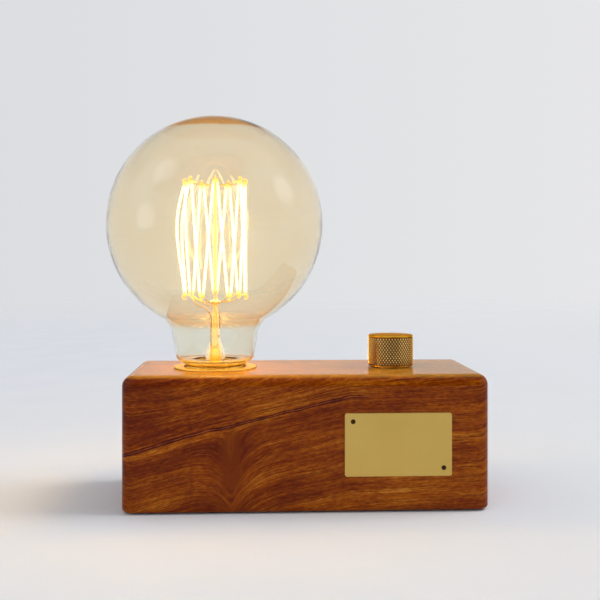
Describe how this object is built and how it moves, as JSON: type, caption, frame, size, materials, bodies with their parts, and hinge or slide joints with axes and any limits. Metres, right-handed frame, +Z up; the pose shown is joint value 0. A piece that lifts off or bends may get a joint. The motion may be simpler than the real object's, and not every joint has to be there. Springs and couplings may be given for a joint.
{
  "type": "bare bulb table lamp",
  "caption": "Wooden block table lamp with a bare globe filament bulb in a brass-ringed screw socket, a knurled brass dimmer knob and a plain brass plate on the front.",
  "frame": {"origin": "on the table under the centre of the wood block, on the underside of its pad", "axes": "+X to the right along the block, +Y to the back, where the cord inlet is, +Z up along the bulb's and the knob's axes"},
  "size_m": [0.1625, 0.095, 0.1675],
  "materials": {
    "oiled_wood": "oiled, semi-gloss",
    "fibreboard": "dark stained, matt",
    "black_rubber": "matt",
    "zinc_steel": "bright zinc",
    "polished_brass": "polished",
    "cap_brass": "satin",
    "white_porcelain": "glazed",
    "amber_glass": "clear, amber tint",
    "clear_glass": "clear",
    "black_glass": "opaque black",
    "cement": "matt",
    "support_wire": "drawn wire",
    "hot_filament": "glowing",
    "dark_steel": "blackened",
    "phenolic": "paper phenolic",
    "plated_steel": "nickel plated",
    "green_laminate": "solder mask",
    "ferrite": "matt",
    "copper_wire": "enamelled copper",
    "yellow_film": "gloss",
    "black_resin": "matt",
    "aluminium_fins": "extruded",
    "green_plastic": "gloss",
    "brown_insulation": "gloss",
    "blue_insulation": "gloss",
    "black_nylon": "satin",
    "plate_brass": "fine brushed",
    "dark_pins": "darkened"
  },
  "bodies": {
    "base": {"wood_block": "oiled_wood", "base_plate": "fibreboard", "base_screws": "zinc_steel", "foot_pad": "black_rubber", "trim_ring": "polished_brass", "holder_body": "white_porcelain", "holder_shell": "cap_brass", "holder_contact": "cap_brass", "holder_side_strip": "cap_brass", "holder_rivets": "zinc_steel", "holder_terminals": "cap_brass", "holder_terminal_screws": "zinc_steel", "dimmer_case": "plated_steel", "dimmer_bush": "cap_brass", "dimmer_washer": "zinc_steel", "dimmer_nut": "zinc_steel", "track_disc": "phenolic", "dimmer_lugs": "zinc_steel", "circuit_board": "green_laminate", "board_pillars": "cap_brass", "board_screws": "zinc_steel", "choke_core": "ferrite", "choke_winding": "copper_wire", "capacitor": "yellow_film", "triac": "black_resin", "heat_sink": "aluminium_fins", "terminal_block": "green_plastic", "terminal_block_screws": "zinc_steel", "live_lead": "brown_insulation", "neutral_lead": "blue_insulation", "inlet_bush": "black_nylon", "inlet_nut": "black_nylon", "nameplate": "plate_brass", "nameplate_pins": "dark_pins"},
    "bulb_foot": {"cap_insulator": "black_glass", "cap_contact": "zinc_steel"},
    "bulb": {"bulb_glass": "amber_glass", "bulb_cap": "cap_brass", "basing_cement": "cement", "glass_stem": "clear_glass", "lead_in_wires": "support_wire", "lower_hooks": "support_wire", "upper_hooks": "support_wire", "filament": "hot_filament"},
    "knob_and_shaft": {"knob": "polished_brass", "knob_set_screw": "dark_steel", "dimmer_shaft": "zinc_steel", "shaft_clip": "dark_steel", "wiper_disc": "phenolic", "wiper_contact": "cap_brass"}
  },
  "joints": [
    {"name": "bulb_lift", "type": "slide", "parent": "base", "child": "bulb_foot", "axis": [0, 0, 1], "range_m": [0, 0.01452]},
    {"name": "bulb_turn", "type": "hinge", "parent": "bulb_foot", "child": "bulb", "pos_m": [-0.039, 0, 0.0566], "axis": [0, 0, 1], "range_deg": [0, 1440]},
    {"name": "knob_turn", "type": "hinge", "parent": "base", "child": "knob_and_shaft", "pos_m": [0.039, 0, 0.0566], "axis": [0, 0, 1], "range_deg": [-20, 260]}
  ],
  "couplings": [
    {"joint": "bulb_lift", "follows": "bulb_turn", "m_per_rad": 0.00057757}
  ]
}
